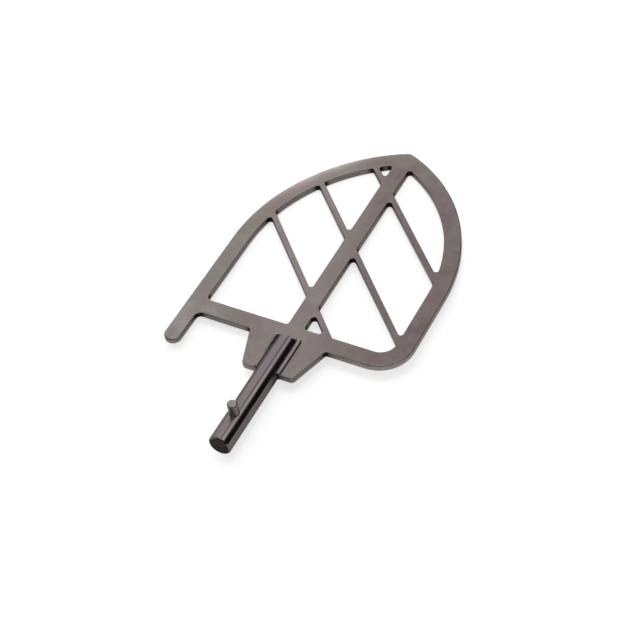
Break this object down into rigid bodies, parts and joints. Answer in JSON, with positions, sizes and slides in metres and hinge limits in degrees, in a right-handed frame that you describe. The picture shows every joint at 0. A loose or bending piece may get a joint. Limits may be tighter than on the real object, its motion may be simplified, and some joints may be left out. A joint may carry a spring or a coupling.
{
  "type": "laboratory mortar mixing paddle",
  "caption": "Flat leaf-shaped steel mixing paddle with a centre rib, slanted bars, a side tail, and a round drive shank with a cross pin.",
  "frame": {"origin": "centre of the shank's free end face, on the shank's axis", "axes": "+Y along the shank to the blade's tip, +X to the side with the rounded lower corner, +Z normal to the flat blade, on the side that the cross pin stands out of"},
  "size_m": [0.135, 0.2369, 0.021],
  "materials": {
    "blade_steel": "satin, with darker cut edges",
    "shank_steel": "polished round bar",
    "pin_steel": "ground",
    "weld_metal": "rippled weld, brushed clean"
  },
  "bodies": {
    "root": {"mixing_blade": "blade_steel", "drive_shank": "shank_steel", "drive_pin": "pin_steel", "weld_front_right": "weld_metal", "weld_front_left": "weld_metal", "weld_front_end": "weld_metal", "weld_back_right": "weld_metal", "weld_back_left": "weld_metal", "weld_back_end": "weld_metal"}
  },
  "joints": []
}
